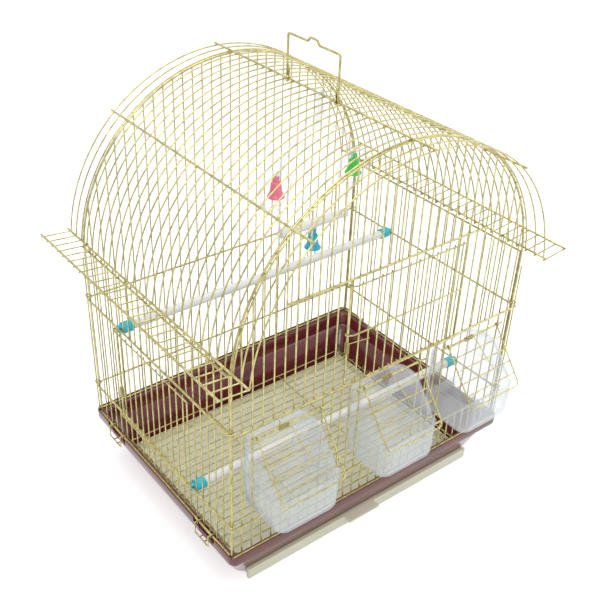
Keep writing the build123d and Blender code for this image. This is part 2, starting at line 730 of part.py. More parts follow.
# Swing: a flat frame with a many-sided arch, two rings and two legs, hooked round the ridge rod
swing_y = -roof_pitch
ring_z = ridge_z - swing_ring_drop
arch_mid_z = ridge_z - swing_arch_drop
bar_z = ridge_z - swing_bar_drop
bell_tops = {"pink": (-swing_ring_x, ring_z + swing_ring_radius - swing_band),
             "green": (swing_ring_x, ring_z + swing_ring_radius - swing_band),
             "blue": (0, bar_z - swing_bar_diameter / 2)}
with BuildPart() as swing_frame:
    with BuildSketch(Plane.XZ.offset(-swing_y)):
        with Locations((0, ridge_z)):
            RegularPolygon(swing_hook, 12)
        with Locations((0, (ridge_z + arch_mid_z + swing_arch_radius - swing_band) / 2)):
            Rectangle(swing_band, ridge_z - arch_mid_z - swing_arch_radius + swing_band)
        with Locations((0, ridge_z - swing_tab_drop)):
            Rectangle(swing_tab_width, swing_band)
        with Locations((0, arch_mid_z)):
            RegularPolygon(swing_arch_radius, 24)
            RegularPolygon(swing_arch_radius - swing_band, 24, mode=Mode.SUBTRACT)
            Rectangle(3 * swing_arch_radius, 2 * swing_arch_radius, align=(Align.CENTER, Align.MAX),
                      mode=Mode.SUBTRACT)
        with Locations((-swing_ring_x, ring_z), (swing_ring_x, ring_z)):
            RegularPolygon(swing_ring_radius, 16)
            RegularPolygon(swing_ring_radius - swing_band, 16, mode=Mode.SUBTRACT)
        leg_top = ring_z - swing_ring_radius + swing_band
        with Locations((-swing_leg_x, (leg_top + bar_z) / 2), (swing_leg_x, (leg_top + bar_z) / 2)):
            Rectangle(swing_band, leg_top - bar_z + swing_bar_diameter)
        with Locations((0, ridge_z)):
            Circle(rod / 2 + hinge_play, mode=Mode.SUBTRACT)
    extrude(amount=swing_thick / 2, both=True)
    for name in ("pink", "green"):
        x, z = bell_tops[name]
        block((x - bell_lug[0] / 2, swing_y - bell_lug[1] / 2, z - bell_lug[2]),
              (x + bell_lug[0] / 2, swing_y + bell_lug[1] / 2, z + 1))
        with BuildSketch(Plane.XZ.offset(-swing_y)) as hole:
            with Locations((x, z - bell_lug[2] / 2)):
                Circle(bell_pin / 2 + pin_play)
        extrude(hole.sketch, amount=swing_thick, both=True, mode=Mode.SUBTRACT)
swing_frame.part.label = "swing_frame"
export_step(swing_frame.part, "parts/swing_frame.step")

# Swing bar, held between the legs, with a lug below it for the third bell
with BuildPart() as swing_bar:
    bar_half = swing_leg_x - swing_band / 2 - weld
    round_rod((-bar_half, swing_y, bar_z), (bar_half, swing_y, bar_z), swing_bar_diameter)
    low_z = bell_tops["blue"][1] - bell_lug[2]
    block((-bell_lug[0] / 2, swing_y - bell_lug[1] / 2, low_z), (bell_lug[0] / 2, swing_y + bell_lug[1] / 2, bar_z))
    with BuildSketch(Plane.XZ.offset(-swing_y)):
        with Locations((0, low_z + bell_lug[2] / 2)):
            Circle(bell_pin / 2 + pin_play)
    extrude(amount=swing_thick, both=True, mode=Mode.SUBTRACT)
swing_bar.part.label = "swing_bar"
export_step(swing_bar.part, "parts/swing_bar.step")

# Bells: thin shells with two ears and a pin through the lug above
for name, (x, z) in bell_tops.items():
    pin_z = z - bell_lug[2] / 2
    crown_z = z - bell_lug[2] - bell_swing_gap
    low_z = crown_z - bell_height
    ear_y = bell_lug[1] / 2 + seat_gap
    rings = [(bell_mouth, 0), (bell_mouth * 0.75, bell_height * 0.35), (bell_mouth * 0.6, bell_height)]
    with BuildPart() as bell:
        for inset, mode in ((0, Mode.ADD), (bell_wall, Mode.SUBTRACT)):
            levels = []
            for radius, height in rings:
                lower = inset if height == bell_height else 0
                with BuildSketch(Plane.XY.offset(height - lower)) as level:
                    RegularPolygon(radius - inset, 12)
                levels.append(level.sketch)
            loft(levels, ruled=True, mode=mode)
    with BuildPart() as bell_piece:
        with Locations((x, swing_y, low_z)):
            add(bell.part)
        for side in (-1, 1):
            block((x - bell_lug[0] / 2, swing_y + side * ear_y, crown_z - bell_wall / 2),
                  (x + bell_lug[0] / 2, swing_y + side * (ear_y + bell_ear), pin_z + bell_pin))
        with BuildSketch(Plane.XZ.offset(-swing_y)) as pin:
            with Locations((x, pin_z)):
                RegularPolygon(bell_pin / 2, 8)
        extrude(pin.sketch, amount=ear_y + bell_ear, both=True)
    bell_piece.part.label = f"{name}_bell"
    export_step(bell_piece.part, f"parts/{name}_bell.step")

# Latches: bent wires that hang from the side walls' bottom rods and hook under the base's rim
hook_z = bottom_rail_z - latch_drop
latch_top_z = bottom_rail_z + eye_face
for side, side_name in ((-1, "left"), (1, "right")):
    for end, end_name in ((-1, "front"), (1, "back")):
        leg_y = [end * gaps * side_pitch for gaps in latch_gaps]
        far_x = side * (base_rim[0] + latch_out)
        with BuildPart() as latch:
            for y in leg_y:
                eye((side * half_width, y, bottom_rail_z), (0, 1, 0), rod, latch_wire, latch_wire)
            wire_run([(side * half_width, leg_y[0], latch_top_z), (far_x, leg_y[0], latch_top_z),
                      (far_x, leg_y[0], hook_z), (far_x, leg_y[1], hook_z),
                      (far_x, leg_y[1], latch_top_z), (side * half_width, leg_y[1], latch_top_z)], latch_wire)
            for third in (1, 2):
                y = leg_y[0] + (leg_y[1] - leg_y[0]) * third / 3
                wire_run([(far_x, y, hook_z), (far_x - side * latch_hook, y, hook_z)], latch_wire)
        latch.part.label = f"latch_{end_name}_{side_name}"
        export_step(latch.part, f"parts/latch_{end_name}_{side_name}.step")

print("wires in the front wall", front_gaps + 1, "side wall", side_gaps + 1, "roof", roof_gaps + 1)
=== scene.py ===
import math
import bmesh
import bpy
from mathutils import Matrix, Vector


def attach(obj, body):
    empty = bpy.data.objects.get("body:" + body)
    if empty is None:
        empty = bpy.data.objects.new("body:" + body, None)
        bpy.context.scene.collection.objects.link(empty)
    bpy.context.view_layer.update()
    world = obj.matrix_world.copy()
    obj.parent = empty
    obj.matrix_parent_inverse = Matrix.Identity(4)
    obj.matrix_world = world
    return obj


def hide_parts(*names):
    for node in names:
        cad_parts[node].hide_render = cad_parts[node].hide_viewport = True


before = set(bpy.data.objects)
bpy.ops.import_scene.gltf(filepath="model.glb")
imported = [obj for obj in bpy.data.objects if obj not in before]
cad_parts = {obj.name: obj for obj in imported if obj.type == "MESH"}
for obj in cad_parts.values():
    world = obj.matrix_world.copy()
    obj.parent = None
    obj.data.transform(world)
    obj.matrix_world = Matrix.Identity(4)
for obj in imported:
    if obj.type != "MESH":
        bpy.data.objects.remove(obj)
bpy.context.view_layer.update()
mm = 0.001

# Base tray: one glossy burgundy moulding with tapering walls, a rim that steps out,
# and a thin lip that stands round the wire frame. The drawer runs in a slot at the front.


def plastic(name, light, dark, rough, grain=60.0, bump=0.05, coat=0.0):
    """Moulded plastic: two close tones, uneven gloss and a very fine orange peel."""
    made = bpy.data.materials.new(name)
    made.use_nodes = True
    nodes, links = made.node_tree.nodes, made.node_tree.links
    shader = nodes["Principled BSDF"]
    shader.inputs["Coat Weight"].default_value = coat
    shader.inputs["Coat Roughness"].default_value = 0.08
    place = nodes.new("ShaderNodeTexCoord")
    clouds = nodes.new("ShaderNodeTexNoise")
    clouds.inputs["Scale"].default_value = grain
    clouds.inputs["Detail"].default_value = 6
    tones = nodes.new("ShaderNodeValToRGB")
    tones.color_ramp.elements[0].position = 0.35
    tones.color_ramp.elements[1].position = 0.7
    tones.color_ramp.elements[0].color = (*dark, 1)
    tones.color_ramp.elements[1].color = (*light, 1)
    gloss = nodes.new("ShaderNodeMapRange")
    gloss.inputs["To Min"].default_value = rough * 0.8
    gloss.inputs["To Max"].default_value = rough * 1.3
    peel = nodes.new("ShaderNodeTexNoise")
    peel.inputs["Scale"].default_value = 900
    relief = nodes.new("ShaderNodeBump")
    relief.inputs["Strength"].default_value = bump
    relief.inputs["Distance"].default_value = 0.0003
    links.new(place.outputs["Object"], clouds.inputs["Vector"])
    links.new(place.outputs["Object"], peel.inputs["Vector"])
    links.new(clouds.outputs["Fac"], tones.inputs["Fac"])
    links.new(clouds.outputs["Fac"], gloss.inputs["Value"])
    links.new(peel.outputs["Fac"], relief.inputs["Height"])
    links.new(tones.outputs["Color"], shader.inputs["Base Color"])
    links.new(gloss.outputs["Result"], shader.inputs["Roughness"])
    links.new(relief.outputs["Normal"], shader.inputs["Normal"])
    return made


def shown(name, mesh, material, body, slot, *nodes):
    """Puts a finished mesh in the scene for its CAD nodes, on its body."""
    piece = bpy.data.objects.new(name, mesh)
    bpy.context.scene.collection.objects.link(piece)
    if material is not None:
        mesh.materials.clear()
        mesh.materials.append(material)
    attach(piece, body)
    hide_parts(*nodes)
    return piece


def round_ring(half_x, half_y, corner, z, middle=(0.0, 0.0), steps=7):
    """One level of a moulding: a rectangle with round corners."""
    ring = []
    for quarter, (sx, sy) in enumerate(((1, 1), (-1, 1), (-1, -1), (1, -1))):
        for i in range(steps + 1):
            turn = math.pi / 2 * (quarter + i / steps)
            ring.append(((middle[0] + sx * (half_x - corner) + corner * math.cos(turn)) * mm,
                         (middle[1] + sy * (half_y - corner) + corner * math.sin(turn)) * mm, z * mm))
    return ring


def skinned(name, rings, smooth_angle=35):
    """A closed moulding over rings of equal count, capped at both ends."""
    body = bmesh.new()
    levels = [[body.verts.new(p) for p in ring] for ring in rings]
    for low, high in zip(levels, levels[1:]):
        for i in range(len(low)):
            j = (i + 1) % len(low)
            body.faces.new((low[i], low[j], high[j], high[i]))
    body.faces.new(list(reversed(levels[0])))
    body.faces.new(levels[-1])
    bmesh.ops.recalc_face_normals(body, faces=body.faces)
    mesh = bpy.data.meshes.new(name)
    body.to_mesh(mesh)
    body.free()
    mesh.shade_smooth()
    mesh.set_sharp_from_angle(angle=math.radians(smooth_angle))
    return mesh


def less(name, mesh, boxes):
    """A mesh with boxes, given by two corners in millimetres, cut out of it."""
    whole = bpy.data.objects.new(name + "_whole", mesh)
    bpy.context.scene.collection.objects.link(whole)
    cutters = []
    for low, high in boxes:
        block = bmesh.new()
        bmesh.ops.create_cube(block, size=1)
        size = [(b - a) * mm for a, b in zip(low, high)]
        centre = [(a + b) / 2 * mm for a, b in zip(low, high)]
        bmesh.ops.scale(block, vec=size, verts=block.verts)
        bmesh.ops.translate(block, vec=centre, verts=block.verts)
        solid = bpy.data.meshes.new(name + "_cut")
        block.to_mesh(solid)
        block.free()
        cutter = bpy.data.objects.new(name + "_cut", solid)
        bpy.context.scene.collection.objects.link(cutter)
        cut = whole.modifiers.new("cut", "BOOLEAN")
        cut.operation = "DIFFERENCE"
        cut.solver = "EXACT"
        cut.object = cutter
        cutters.append(cutter)
    bpy.context.view_layer.update()
    made = bpy.data.meshes.new_from_object(whole.evaluated_get(bpy.context.evaluated_depsgraph_get()))
    for spare in [whole] + cutters:
        bpy.data.objects.remove(spare)
    made.shade_smooth()
    made.set_sharp_from_angle(angle=math.radians(35))
    return made


burgundy = plastic("burgundy", (0.150, 0.011, 0.013), (0.108, 0.008, 0.010), 0.2, grain=18, coat=0.5)
foot, neck, neck_z, wall = (167.6, 120.0), (189.0, 140.5), 52.5, 2.5
rim_x, rim_y, rim_top, shelf_z = 194.6, 146.1, 64.9, 61.9


def tray_level(z, inset, corner):
    """The tray's tapering wall at a height, set in from its outside."""
    share = z / neck_z
    half = [a + (b - a) * share - inset for a, b in zip(foot, neck)]
    return round_ring(half[0], half[1], corner, z)


def rim_level(z, inset, corner):
    """The rim at a height, set in from its widest place."""
    return round_ring(rim_x - inset, rim_y - inset, corner, z)


thick_wall = wall + 1.6
tray_outside = [tray_level(0, 1.6, 13), tray_level(0.5, 0.5, 14), tray_level(1.8, 0, 14.5),
                tray_level(30, 0, 12), tray_level(48, 0, 9.5)]
tray_rim = [rim_level(neck_z, 3.5, 8), rim_level(52.7, 0.9, 8), rim_level(53.5, 0.2, 8),
            rim_level(55.5, 0, 8), rim_level(rim_top - 0.5, 0, 8), rim_level(rim_top, 0.25, 7.8),
            rim_level(rim_top, 0.75, 6.5), rim_level(rim_top - 0.4, 1, 5.5),
            rim_level(shelf_z + 0.1, 1, 5), rim_level(shelf_z, 1.4, 5), rim_level(shelf_z, 6.6, 8),
            rim_level(shelf_z - 0.3, 7.4, 8.5), rim_level(shelf_z - 1.2, 8, 9)]
tray_inside = [tray_level(46, wall, 9.5), tray_level(44.5, thick_wall, 9.5), tray_level(20, thick_wall, 11),
               tray_level(18.4, wall, 11), tray_level(4.5, wall, 12), tray_level(3.0, wall + 0.6, 12),
               tray_level(2.5, wall + 2.0, 12)]
side_pitch = 12.4136
notch_x, notch_z, notch_gaps = (188.2, 200), (59.4, 70), (5.9, 9.1)
notches = []
for side in (-1, 1):
    for end in (-1, 1):
        xs = sorted(side * x for x in notch_x)
        ys = sorted(end * gap * side_pitch for gap in notch_gaps)
        notches.append(list(zip(xs, ys, notch_z)))
drawer_slot = ((-161.4, -150, 2.5), (161.4, -110, 15.2))
tray = less("base_tray", skinned("base_tray", tray_outside + tray_rim + tray_inside), notches + [drawer_slot])
shown("base_tray", tray, burgundy, "cage", "burgundy_plastic", "base_tray")

# Slide-out drawer: a shallow cream tray under the grate. Its front strip covers the
# slot and carries a wide flat pull tab a little left of the middle.
cream = plastic("cream", (0.76, 0.75, 0.60), (0.71, 0.70, 0.54), 0.42, grain=25)
soft_edge, sharp_angle, flat_angle = 0.5, math.radians(40), math.radians(2)


def softened(node):
    """A copy of a CAD node's mesh, merged, with its sharp edges rounded."""
    body = bmesh.new()
    body.from_mesh(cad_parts[node].data)
    bmesh.ops.remove_doubles(body, verts=body.verts, dist=1e-6)
    bmesh.ops.dissolve_limit(body, angle_limit=flat_angle, verts=body.verts, edges=body.edges)
    sharp = [e for e in body.edges if len(e.link_faces) == 2 and e.calc_face_angle(0) > sharp_angle]
    bmesh.ops.bevel(body, geom=sharp, offset=soft_edge * mm, segments=3, profile=0.5, affect="EDGES",
                    clamp_overlap=True)
    bmesh.ops.recalc_face_normals(body, faces=body.faces)
    mesh = bpy.data.meshes.new(node)
    body.to_mesh(mesh)
    body.free()
    mesh.shade_smooth()
    mesh.set_sharp_from_angle(angle=math.radians(50))
    return mesh


shown("slide_out_drawer", softened("slide_out_drawer"), cream, "drawer", "cream_plastic",
      "slide_out_drawer")

# Floor grate: lacquered wires side by side, laid on four wires that run front to back, above
# the drawer. All are drawn steel with a gold lacquer, and each crossing is spot welded.


def gold_lacquer(name, light, dark, rough):
    """Gold lacquer over drawn wire: bright metal with darker, duller patches along it."""
    made = bpy.data.materials.new(name)
    made.use_nodes = True
    nodes, links = made.node_tree.nodes, made.node_tree.links
    shader = nodes["Principled BSDF"]
    shader.inputs["Metallic"].default_value = 0.85
    shader.inputs["Coat Weight"].default_value = 0.5
    shader.inputs["Coat Roughness"].default_value = 0.12
    place = nodes.new("ShaderNodeTexCoord")
    patches = nodes.new("ShaderNodeTexNoise")
    patches.inputs["Scale"].default_value = 140
    patches.inputs["Detail"].default_value = 5
    tones = nodes.new("ShaderNodeValToRGB")
    tones.color_ramp.elements[0].position = 0.32
    tones.color_ramp.elements[1].position = 0.68
    tones.color_ramp.elements[0].color = (*dark, 1)
    tones.color_ramp.elements[1].color = (*light, 1)
    dull = nodes.new("ShaderNodeMapRange")
    dull.inputs["To Min"].default_value = rough * 1.4
    dull.inputs["To Max"].default_value = rough * 0.7
    links.new(place.outputs["Object"], patches.inputs["Vector"])
    links.new(patches.outputs["Fac"], tones.inputs["Fac"])
    links.new(patches.outputs["Fac"], dull.inputs["Value"])
    links.new(tones.outputs["Color"], shader.inputs["Base Color"])
    links.new(dull.outputs["Result"], shader.inputs["Roughness"])
    return made


gold = gold_lacquer("gold_lacquer", (0.64, 0.57, 0.24), (0.34, 0.30, 0.11), 0.24)


def wire_tree():
    """Round wire along a path of edges, repeated at even steps, with a weld at each free point."""
    tree = bpy.data.node_groups.new("welded_wire", "GeometryNodeTree")
    face = tree.interface
    face.new_socket("Path", in_out="INPUT", socket_type="NodeSocketGeometry")
    for name, kind, value in (("Bend radius", "NodeSocketFloat", 0.0), ("Sides", "NodeSocketInt", 8),
                              ("Copies", "NodeSocketInt", 1), ("Step", "NodeSocketVector", (0, 0, 0)),
                              ("Weld size", "NodeSocketFloat", 0.001),
                              ("Lacquer", "NodeSocketMaterial", None)):
        socket = face.new_socket(name, in_out="INPUT", socket_type=kind)
        if value is not None:
            socket.default_value = value
    face.new_socket("Wire", in_out="OUTPUT", socket_type="NodeSocketGeometry")
    nodes, links = tree.nodes, tree.links
    given, result = nodes.new("NodeGroupInput"), nodes.new("NodeGroupOutput")
    line = nodes.new("GeometryNodeMeshToCurve")
    bend = nodes.new("GeometryNodeFilletCurve")
    bend.mode = "POLY"
    bend.inputs["Count"].default_value = 5
    thick = nodes.new("GeometryNodeInputNamedAttribute")
    thick.data_type = "FLOAT"
    thick.inputs["Name"].default_value = "thickness"
    section = nodes.new("GeometryNodeCurvePrimitiveCircle")
    section.inputs["Radius"].default_value = 1.0
    tube = nodes.new("GeometryNodeCurveToMesh")
    tube.inputs["Fill Caps"].default_value = True
    smooth = nodes.new("GeometryNodeSetShadeSmooth")
    row = nodes.new("GeometryNodeMeshLine")
    placed = nodes.new("GeometryNodeInstanceOnPoints")
    welds = nodes.new("GeometryNodeInputNamedAttribute")
    welds.data_type = "BOOLEAN"
    welds.inputs["Name"].default_value = "weld"
    nugget = nodes.new("GeometryNodeMeshIcoSphere")
    nugget.inputs["Subdivisions"].default_value = 1
    dots = nodes.new("GeometryNodeInstanceOnPoints")
    both = nodes.new("GeometryNodeJoinGeometry")
    real = nodes.new("GeometryNodeRealizeInstances")
    coat = nodes.new("GeometryNodeSetMaterial")
    links.new(given.outputs["Path"], line.inputs["Mesh"])
    links.new(thick.outputs["Attribute"], tube.inputs["Scale"])
    links.new(line.outputs["Curve"], bend.inputs["Curve"])
    links.new(given.outputs["Bend radius"], bend.inputs["Radius"])
    links.new(given.outputs["Sides"], section.inputs["Resolution"])
    links.new(bend.outputs["Curve"], tube.inputs["Curve"])
    links.new(section.outputs["Curve"], tube.inputs["Profile Curve"])
    links.new(tube.outputs["Mesh"], smooth.inputs["Geometry"])
    links.new(given.outputs["Path"], dots.inputs["Points"])
    links.new(welds.outputs["Attribute"], dots.inputs["Selection"])
    links.new(given.outputs["Weld size"], nugget.inputs["Radius"])
    links.new(nugget.outputs["Mesh"], dots.inputs["Instance"])
    links.new(smooth.outputs["Geometry"], both.inputs["Geometry"])
    links.new(dots.outputs["Instances"], both.inputs["Geometry"])
    links.new(given.outputs["Copies"], row.inputs["Count"])
    links.new(given.outputs["Step"], row.inputs["Offset"])
    links.new(row.outputs["Mesh"], placed.inputs["Points"])
    links.new(both.outputs["Geometry"], placed.inputs["Instance"])
    links.new(placed.outputs["Instances"], real.inputs["Geometry"])
    links.new(real.outputs["Geometry"], coat.inputs["Geometry"])
    links.new(given.outputs["Lacquer"], coat.inputs["Material"])
    links.new(coat.outputs["Geometry"], result.inputs["Wire"])
    return tree


welded_wire = wire_tree()


def wires(name, runs, lacquer=gold, welds=(), bend=0.0, copies=1, pitch=(0, 0, 0), sides=8, weld_size=0.9):
    """A mesh of round wires. Each run is its points and its diameter, in millimetres."""
    points, edges, sizes = [], [], []
    for run, size in runs:
        first = len(points)
        points += [Vector(p) * mm for p in run]
        edges += [(i, i + 1) for i in range(first, len(points) - 1)]
        sizes += [size / 2 * mm] * len(run)
    count = len(points)
    points += [Vector(p) * mm for p in welds]
    mesh = bpy.data.meshes.new(name + "_path")
    mesh.from_pydata(points, edges, [])
    thickness = mesh.attributes.new("thickness", "FLOAT", "POINT")
    thickness.data.foreach_set("value", sizes + [0.0] * len(welds))
    weld = mesh.attributes.new("weld", "BOOLEAN", "POINT")
    weld.data.foreach_set("value", [False] * count + [True] * len(welds))
    path = bpy.data.objects.new(name + "_path", mesh)
    bpy.context.scene.collection.objects.link(path)
    maker = path.modifiers.new("wire", "NODES")
    maker.node_group = welded_wire
    wanted = {"Bend radius": bend * mm, "Sides": sides, "Copies": copies, "Step": [v * mm for v in pitch],
              "Weld size": weld_size * mm, "Lacquer": lacquer}
    for socket in welded_wire.interface.items_tree:
        if socket.name in wanted:
            maker[socket.identifier] = wanted[socket.name]
    bpy.context.view_layer.update()
    made = bpy.data.meshes.new_from_object(path.evaluated_get(bpy.context.evaluated_depsgraph_get()))
    path.modifiers.clear()
    bpy.data.objects.remove(path)
    made.name = name
    made.materials.clear()
    made.materials.append(lacquer)
    made.polygons.foreach_set("material_index", [0] * len(made.polygons))
    return made


def joined(name, *meshes):
    """Several meshes of one finish as one mesh."""
    body = bmesh.new()
    for mesh in meshes:
        body.from_mesh(mesh)
    made = bpy.data.meshes.new(name)
    body.to_mesh(made)
    body.free()
    if meshes[0].materials:
        made.materials.append(meshes[0].materials[0])
    return made


thin, rod, weld_gap = 1.6, 2.4, 0.05
grate_wires, grate_pitch, grate_half = 24, 10.2, 167.0
long_wire_xs, ledge_z = (-164, -59, 59, 164), 14.8
long_wire_z = ledge_z + weld_gap + thin / 2
cross_wire_z = long_wire_z + thin + weld_gap
grate_y = (grate_wires - 1) / 2 * grate_pitch
across = wires("across", [([(x, -grate_y, cross_wire_z) for x in (-grate_half, grate_half)], thin)],
               welds=[(x, -grate_y, long_wire_z + thin / 2) for x in long_wire_xs],
               copies=grate_wires, pitch=(0, grate_pitch, 0), weld_size=0.7)
along = wires("along", [([(x, -grate_y - thin, long_wire_z), (x, grate_y + thin, long_wire_z)], thin)
                        for x in long_wire_xs])
shown("floor_grate", joined("floor_grate", across, along), None, "cage", "gold_wire", "floor_grate")

# Front and back walls: upright wires welded behind three rails, cut to the round top.
# The front wall leaves a doorway above and three feeder openings below.
half_width, half_depth = 192.0, 143.0
frame_z, rail_a, rail_b, stop_z = 62.0, 102.5, 222.0, 345.0
rail_zs = (frame_z + rod / 2, rail_a, rail_b)
crossing, bead_out = rod / 2 + weld_gap + thin / 2, 1.1
wire_y = half_depth - crossing
arch_z, arch_radius, wall_arch = 274.0, 191.0, 190.6
post_x, front_gaps = 191.6, 32
front_pitch = 2 * post_x / front_gaps
door_wires, stop_wires = (11, 23), (5, 26)
feeder_first, feeder_gaps = (2, 13, 23), 7


def wall_x(number):
    """Where an end wall's upright wire stands."""
    return -post_x + number * front_pitch


def arch_top(x):
    """The height of an end wall's round top at a place across it."""
    return arch_z + math.sqrt(wall_arch ** 2 - x ** 2)


def end_wall(name, sign):
    """An end wall's mesh: its upright wires, then its rails. The front one, at -1, has the openings."""
    runs, beads = [], []
    for number in range(front_gaps + 1):
        x, y = wall_x(number), sign * wire_y
        spans = [(frame_z, arch_top(x) if 0 < number < front_gaps else arch_z)]
        crossed = rail_zs
        cuts = []
        if sign < 0 and any(f < number < f + feeder_gaps for f in feeder_first):
            cuts.append((rail_a + rod / 2, rail_b - rod / 2))
        if sign < 0 and door_wires[0] <= number < door_wires[1]:
            cuts.append((rail_b + rod / 2, stop_z - rod / 2))
        if sign < 0 and stop_wires[0] <= number <= stop_wires[1]:
            crossed = rail_zs + (stop_z,)
        for low, high in cuts:
            spans = [s for a, b in spans for s in ((a, min(b, low)), (max(a, high), b)) if s[1] > s[0]]
        runs += [([(x, y, low), (x, y, high)], thin) for low, high in spans]
        beads += [(x, sign * (half_depth - bead_out), z) for z in crossed]
    rails = [(-half_width, half_width, z) for z in rail_zs]
    if sign < 0:
        rails.append((wall_x(stop_wires[0]), wall_x(stop_wires[1]), stop_z))
    runs += [([(x, sign * half_depth, z) for x in (left, right)], rod) for left, right, z in rails]
    return wires(name, runs, welds=beads)


for name, sign in (("front_panel", -1), ("back_panel", 1)):
    shown(name, end_wall(name, sign), None, "cage", "gold_wire", name)

# End arches: one thick rod each, bent round in a single sweep and standing on the base
# just behind the end wall's wires, which are welded to it along the top.
arch_start, arch_steps = 6.0, 84


def arch_points(radius, y):
    """Points round an arch, from the left eave to the right one."""
    sweep = 180 - 2 * arch_start
    turns = [math.radians(arch_start + i * sweep / arch_steps) for i in range(arch_steps + 1)]
    return [(-radius * math.cos(t), y, arch_z + radius * math.sin(t)) for t in turns]


arch_foot_x = wall_arch * math.cos(math.radians(arch_start))
for name, sign in (("front_arch", -1), ("back_arch", 1)):
    y = sign * (wire_y - crossing)
    run = [(-arch_foot_x, y, frame_z)] + arch_points(wall_arch, y) + [(arch_foot_x, y, frame_z)]
    beads = [(wall_x(n), sign * (wire_y - rod / 2), arch_top(wall_x(n))) for n in range(1, front_gaps)]
    shown(name, wires(name, [(run, rod)], welds=beads, sides=10), None, "cage", "gold_wire", name)

# Side walls: upright wires inside three rails and a top rod. The left one has a doorway
# between the upper two rails. The bottom rod is where the base's latches turn.
side_x, wall_top = half_width - crossing, 289.5
side_half, side_gaps, side_door_gaps = 137.35, 22, 6
side_rods = rail_zs + (wall_top,)
for name, sign in (("left_panel", -1), ("right_panel", 1)):
    runs, beads = [], []
    for place in range(-side_gaps // 2, side_gaps // 2 + 1):
        x, y = sign * side_x, place * side_pitch
        spans = [(frame_z, wall_top + rod)]
        if sign < 0 and -side_door_gaps < place <= side_door_gaps:
            spans = [(frame_z, rail_a + rod / 2), (rail_b - rod / 2, wall_top + rod)]
        runs += [([(x, y, low), (x, y, high)], thin) for low, high in spans]
        beads += [(sign * (half_width - bead_out), y, z) for z in side_rods]
    runs += [([(sign * half_width, y, z) for y in (-side_half, side_half)], rod) for z in side_rods]
    shown(name, wires(name, runs, welds=beads), None, "cage", "gold_wire", name)

# Roof: evenly spaced bent wires with turned-out eaves. Shoulder and eave rods lie across
# them and are welded at every crossing, and a round ridge rod runs along the top.
corner_wire_y, cage_gaps, roof_gaps = 142.85, 23, 27
roof_pitch = 2 * corner_wire_y / cage_gaps
roof_half = roof_gaps * roof_pitch / 2
eave_turn, shoulder_turn = math.radians(arch_start), math.radians(48)
eave_length, eave_rise, eave_trim = 34, 3, 0.05
eave_x, eave_z = arch_radius * math.cos(eave_turn), arch_z + arch_radius * math.sin(eave_turn)
tips = [(side * (eave_x + eave_length - eave_trim), -roof_half, eave_z + eave_rise) for side in (-1, 1)]
roof_run = [tips[0]] + arch_points(arch_radius, -roof_half) + [tips[1]]
rod_radius = arch_radius + crossing
shoulder = (rod_radius * math.cos(shoulder_turn), arch_z + rod_radius * math.sin(shoulder_turn))
inner_rod = (eave_x + crossing, eave_z + crossing + eave_rise * crossing / eave_length)
outer_rod = (eave_x + eave_length - rod / 2, eave_z + eave_rise + crossing)
long_rods, ridge_z = (shoulder, inner_rod, outer_rod), arch_z + rod_radius
roof_beads = []
for x, z in long_rods:
    out = (x, z - arch_z) if (x, z) == shoulder else (0, 1)
    share = bead_out / math.hypot(*out)
    roof_beads += [(side * (x - out[0] * share), -roof_half, z - out[1] * share) for side in (-1, 1)]
bent = wires("bent", [(roof_run, thin)], welds=roof_beads + [(0, -roof_half, ridge_z - bead_out)],
             copies=roof_gaps + 1, pitch=(0, roof_pitch, 0))
rod_end = roof_half + rod
lengthways = wires("lengthways", [([(side * x, y, z) for y in (-rod_end, rod_end)], rod)
                                  for x, z in long_rods for side in (-1, 1)], sides=10)
shown("roof_panel", joined("roof_panel", bent, lengthways), None, "cage", "gold_wire", "roof_panel")


def round_rod(name, start, end):
    """Shows a straight rod of the cage that other pieces turn on."""
    shown(name, wires(name, [([start, end], rod)], sides=16), None, "cage", "gold_wire", name)


round_rod("ridge_rod", (0, -rod_end, ridge_z), (0, rod_end, ridge_z))

# Wire clips: short soft wires closed round the corner posts above the upper two rails, and round
# the roof's inner eave rod and the side wall's top rod, so the flat panels hold together.
clip = 1.2
near_x, far_x, near_y, far_y, meet_y = 187.85, 193.3, 134.85, 142.65, 139
outline = ((near_x, meet_y), (near_x, near_y), (far_x, near_y), (far_x, far_y), (near_x, far_y),
           (near_x, meet_y))
loops = [([(side * x, end * y, rail + rod + clip * 1.5) for x, y in outline], clip)
         for rail in (rail_a, rail_b) for side in (-1, 1) for end in (-1, 1)]
shown("corner_clips", wires("corner_clips", loops, bend=1.6), None, "cage", "gold_wire", "corner_clips")
clip_room, clip_pitches = 1.5 + clip / 2, (-8.75, 10.25)
low, high = wall_top - clip_room, inner_rod[1] + clip_room
near, far, meet = half_width - clip_room, half_width + clip_room, (low + high) / 2
outline = ((near, meet), (near, low), (far, low), (far, high), (near, high), (near, meet))
loops = [([(side * x, pitches * roof_pitch, z) for x, z in outline], clip)
         for pitches in clip_pitches for side in (-1, 1)]
shown("roof_clips", wires("roof_clips", loops, bend=1.5), None, "cage", "gold_wire", "roof_clips")

# Front door: upright wires on three bars whose ends curl round the hinge rod. It opens
# outwards and its free side laps over the next wire of the wall.
door_gap, rail_gap, door_lap = 0.35, 0.3, 5
door_out = rod / 2 + door_gap + thin / 2
bar_out = door_out + thin + weld_gap
eye_radius, eye_steps, eye_start, eye_turn, bar_start = 2.1, 14, 95, 175, 4.5


def curl(centre, across, start, turn):
    """Points of a wire end that curls round a rod in the plane of two directions."""
    u, v = Vector(across[0]), Vector(across[1])
    turns = [math.radians(start + turn * i / eye_steps) for i in range(eye_steps + 1)]
    return [tuple(Vector(centre) + (u * math.cos(t) + v * math.sin(t)) * eye_radius) for t in turns]


